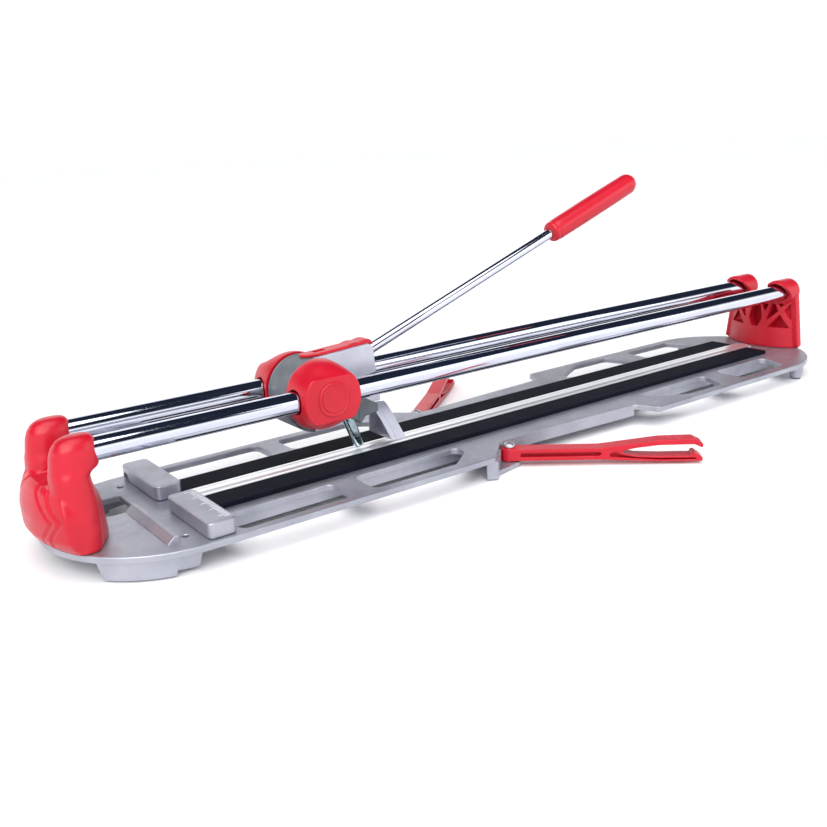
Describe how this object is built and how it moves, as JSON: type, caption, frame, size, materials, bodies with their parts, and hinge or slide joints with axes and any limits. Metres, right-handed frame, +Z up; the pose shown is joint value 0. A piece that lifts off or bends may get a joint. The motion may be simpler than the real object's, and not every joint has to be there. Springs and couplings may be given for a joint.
{
  "type": "rail tile cutter",
  "caption": "Manual rail tile cutter: cast base with breaking rib and fence, guide bars, sliding lever carriage with scoring wheel and breaker foot, folding side arms.",
  "frame": {"origin": "middle of the length and width, on the bench surface under the foot pads", "axes": "+X along the guide bars from the fence end to the free end, +Y across the bars, away from the operator's side in the rest view, +Z up"},
  "size_m": [0.764, 0.3124, 0.2034],
  "materials": {
    "cast_aluminium": "satin die-cast aluminium with a faint grain",
    "machined_aluminium": "bright extruded aluminium",
    "navy_rubber": "near-black navy non-slip rubber",
    "red_plastic": "glossy moulded red plastic",
    "chrome_steel": "hard chrome plated steel",
    "polished_steel": "polished bluish tool steel",
    "dark_cast": "grey painted casting",
    "zinc_steel": "zinc plated steel",
    "black_plastic": "matt black plastic"
  },
  "bodies": {
    "base": {"base_plate": "cast_aluminium", "breaking_rib": "machined_aluminium", "front_tile_pad": "navy_rubber", "back_tile_pad": "navy_rubber", "front_fence_block": "cast_aluminium", "back_fence_block": "cast_aluminium", "near_support": "red_plastic", "far_support": "red_plastic", "front_guide_bar": "chrome_steel", "back_guide_bar": "chrome_steel", "front_near_support_bolt": "zinc_steel", "back_near_support_bolt": "zinc_steel", "front_far_support_bolt": "zinc_steel", "back_far_support_bolt": "zinc_steel", "front_bar_end_screw": "zinc_steel", "back_bar_end_screw": "zinc_steel", "front_fence_screw": "zinc_steel", "back_fence_screw": "zinc_steel", "front_near_foot_pad": "black_plastic", "back_near_foot_pad": "black_plastic", "front_far_foot_pad": "black_plastic", "back_far_foot_pad": "black_plastic", "front_arm_screw": "zinc_steel", "back_arm_screw": "zinc_steel"},
    "carriage": {"carriage_frame": "dark_cast", "front_carriage_cover": "red_plastic", "back_carriage_cover": "red_plastic", "front_cover_cap": "red_plastic", "back_cover_cap": "red_plastic", "front_near_bush": "black_plastic", "back_near_bush": "black_plastic", "front_far_bush": "black_plastic", "back_far_bush": "black_plastic", "lever_pivot_pin": "polished_steel"},
    "lever": {"lever_head": "cast_aluminium", "lever_trim": "red_plastic", "lever_rod": "chrome_steel", "lever_grip": "red_plastic", "scoring_holder": "polished_steel", "wheel_axle": "polished_steel", "holder_set_screw": "zinc_steel", "breaker_foot": "cast_aluminium", "breaker_screw": "zinc_steel"},
    "wheel": {"scoring_wheel": "polished_steel"},
    "front_arm": {"front_side_arm": "red_plastic"},
    "back_arm": {"back_side_arm": "red_plastic"}
  },
  "joints": [
    {"name": "carriage_slide", "type": "slide", "parent": "base", "child": "carriage", "axis": [1, 0, 0], "range_m": [-0.13, 0.449]},
    {"name": "lever_pivot", "type": "hinge", "parent": "carriage", "child": "lever", "pos_m": [-0.1825, 0, 0.0752], "axis": [0, -1, 0], "range_deg": [0, 18]},
    {"name": "wheel_spin", "type": "hinge", "parent": "lever", "child": "wheel", "pos_m": [-0.14212, 0, 0.0262], "axis": [0, 1, 0], "continuous": true},
    {"name": "front_arm_swing", "type": "hinge", "parent": "base", "child": "front_arm", "pos_m": [-0.044, -0.059, 0.009], "axis": [0, 0, -1], "range_deg": [-35, 50]},
    {"name": "back_arm_swing", "type": "hinge", "parent": "base", "child": "back_arm", "pos_m": [-0.044, 0.059, 0.009], "axis": [0, 0, 1], "range_deg": [-35, 50]}
  ]
}
